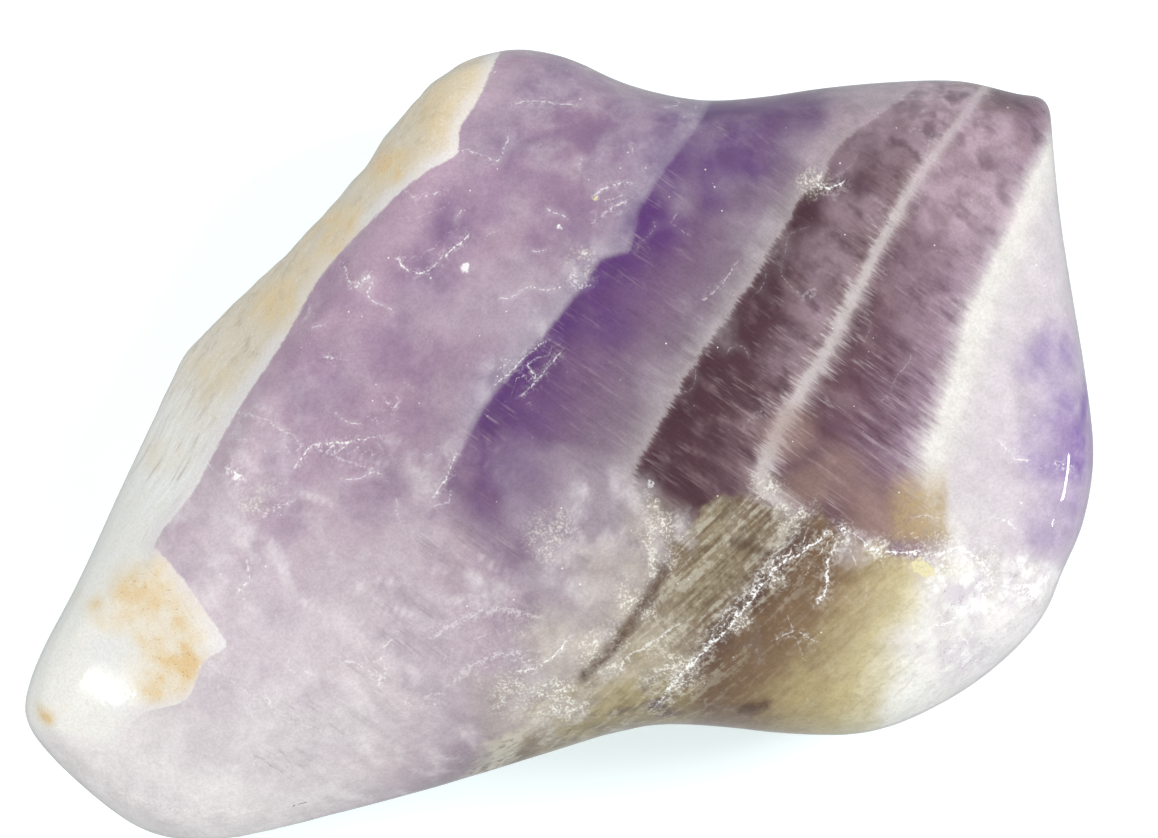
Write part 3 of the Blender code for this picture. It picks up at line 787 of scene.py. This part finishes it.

# Healed fractures, bright flaws, painted pin-point glints and one dark scratch lie over everything.
veil_fields = {"Gap": field("veil_gap"), "Width": field("veil_width"), "Show": field("veil_show")}
veil = use_effect(tree, veils, Grain=speckle, Grit=grit, **veil_fields)
body = tint(tree, body, (251, 250, 247), veil)
flaw = span(tree, offset_by(tree, field("flaw_gap"), speckle, 0.6), 0.05, -0.08)
gold = span(tree, offset_by(tree, field("gold_gap"), speckle, 0.6), 0.05, -0.08)
body = tint(tree, body, (250, 250, 248), product(tree, flaw, 0.85))
body = tint(tree, body, (232, 224, 176), product(tree, gold, span(tree, grit, 0.3, 0.6, 0.4, 0.95)))
# Painted highlights: the glints are white flecks laid into the colour, not mirrored lamps.
painted_glint = use_effect(tree, glints, Cell=0.6, Radius=0.05, Share=0.3)
body = tint(tree, body, (252, 250, 248), product(tree, painted_glint, 0.8))
body = tint(tree, body, (60, 60, 64), product(tree, span(tree, field("scratch_gap"), 0.05, 0.01), 0.8))
tree.links.new(body, gem.inputs["Base Color"])

# The polish: glassy all over, less so on the rind, in the pale drifts and where a veil reaches the skin.
rough_rind = field("unpolished")
polish = calculate(tree, "MULTIPLY_ADD", rough_rind, 0.08, span(tree, field("drift"), 0.0, 1.0, 0.05, 0.08))
polish = calculate(tree, "MULTIPLY_ADD", veil, 0.12, polish)
tree.links.new(polish, gem.inputs["Roughness"])
pits = use_effect(tree, grain, Size=0.3, Seed=9.0, Octaves=0.0)
relief = product(tree, pits, span(tree, rough_rind, 0.0, 1.0, 0.04, 0.6))
raised = {"Strength": SKIN_STRENGTH, "Distance": SKIN_DEPTH, "Height": relief}
skin = place_node(tree, "Bump", inputs=raised)
tree.links.new(skin.outputs["Normal"], gem.inputs["Normal"])
gem.inputs["IOR"].default_value = QUARTZ_IOR
gem.inputs["Metallic"].default_value = 0.0
gem.inputs["Transmission Weight"].default_value = SEE_THROUGH

body_mesh.materials.append(amethyst)
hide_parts("chevron_amethyst")
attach(stone, "root")

# The floor: a plain pale sheet under the stone, lit through from below so that it stays pale.
FLOOR_TINT = (0.70, 0.74, 0.75, 1)
FLOOR_GLOW = (0.85, 1.0, 1.0, 1)
FLOOR_GLOW_STRENGTH = 0.4
FLOOR_ROUGHNESS = 0.9
FLOOR_HALF_SIZE = 1.5
FLOOR_LEVEL = -0.05 * MM
floor_mesh = bpy.data.meshes.new("floor")
sheet = bmesh.new()
bmesh.ops.create_grid(sheet, x_segments=1, y_segments=1, size=FLOOR_HALF_SIZE)
bmesh.ops.translate(sheet, verts=sheet.verts, vec=(0, 0, FLOOR_LEVEL))
sheet.to_mesh(floor_mesh)
sheet.free()
floor = bpy.data.objects.new("floor", floor_mesh)
bpy.context.scene.collection.objects.link(floor)
paper = bpy.data.materials.new("pale_floor")
paper.use_nodes = True
paper_shader = paper.node_tree.nodes["Principled BSDF"]
paper_shader.inputs["Base Color"].default_value = FLOOR_TINT
paper_shader.inputs["Roughness"].default_value = FLOOR_ROUGHNESS
paper_shader.inputs["Emission Color"].default_value = FLOOR_GLOW
paper_shader.inputs["Emission Strength"].default_value = FLOOR_GLOW_STRENGTH
floor_mesh.materials.append(paper)
floor.visible_glossy = False

# The light: a pale sky all round, a key lamp high on the right that throws the shadow to the left, broad
# soft lamps over the rind and from the near side, and two small lamps that the polish mirrors at the right
# rim and at the tip.
SKY = (0.96, 0.98, 1.0, 1)
SKY_STRENGTH = 0.46
LAMPS = [
    dict(name="key_lamp", spot=(0.30, -0.02, 0.32), power=0.95, size=(0.12, 0.12), mirrored=False),
    dict(name="soft_lamp", spot=(-0.13, 0.18, 0.38), power=0.98, size=(0.25, 0.25), mirrored=False),
    dict(name="near_lamp", spot=(-0.05, -0.30, 0.28), power=0.45, size=(0.25, 0.25), mirrored=False),
    dict(name="rim_lamp", spot=(0.434, -0.270, 0.131), power=0.6, size=(0.09, 0.09), mirrored=True),
    dict(name="tip_lamp", spot=(-0.441, -0.083, 0.281), power=0.009, size=(0.024, 0.008), mirrored=True),
]
sky = bpy.data.worlds.new("pale_sky")
sky.use_nodes = True
sky.node_tree.nodes["Background"].inputs["Color"].default_value = SKY
sky.node_tree.nodes["Background"].inputs["Strength"].default_value = SKY_STRENGTH
bpy.context.scene.world = sky
for given in LAMPS:
    lamp = bpy.data.lights.new(given["name"], "AREA")
    lamp.energy = given["power"]
    lamp.shape = "RECTANGLE"
    lamp.size, lamp.size_y = given["size"]
    holder = bpy.data.objects.new(given["name"], lamp)
    holder.location = given["spot"]
    holder.rotation_mode = "QUATERNION"
    holder.rotation_quaternion = Vector(given["spot"]).to_track_quat("Z", "Y")
    holder.visible_glossy = given["mirrored"]
    bpy.context.scene.collection.objects.link(holder)
bpy.context.scene.view_settings.view_transform = "Standard"

# The camera: straight above the stone, where the growth lines are drawn from, and turned so that the stone's
# long axis runs up to the right. MM_PER_PIXEL is what one pixel covers at the widest level.
VIEW_TURN = math.radians(22)
VIEW_MIDDLE = (SIGHT_MIDDLE[0] * MM, SIGHT_MIDDLE[1] * MM, WIDEST_LEVEL * MM)
VIEW_HEIGHT = SIGHT_HEIGHT * MM
PICTURE_PIXELS = 1158
MM_PER_PIXEL = 0.055
VIEW_WIDTH = PICTURE_PIXELS * MM_PER_PIXEL * MM
SENSOR_WIDTH = 36.0
lens = bpy.data.cameras.new("camera")
lens.sensor_width = SENSOR_WIDTH
lens.lens = lens.sensor_width * VIEW_HEIGHT / VIEW_WIDTH
lens.clip_start = 0.01
camera = bpy.data.objects.new("camera", lens)
camera.location = Vector(VIEW_MIDDLE) + Vector((0, 0, VIEW_HEIGHT))
camera.rotation_euler = (0, 0, -VIEW_TURN)
bpy.context.scene.collection.objects.link(camera)
bpy.context.scene.camera = camera
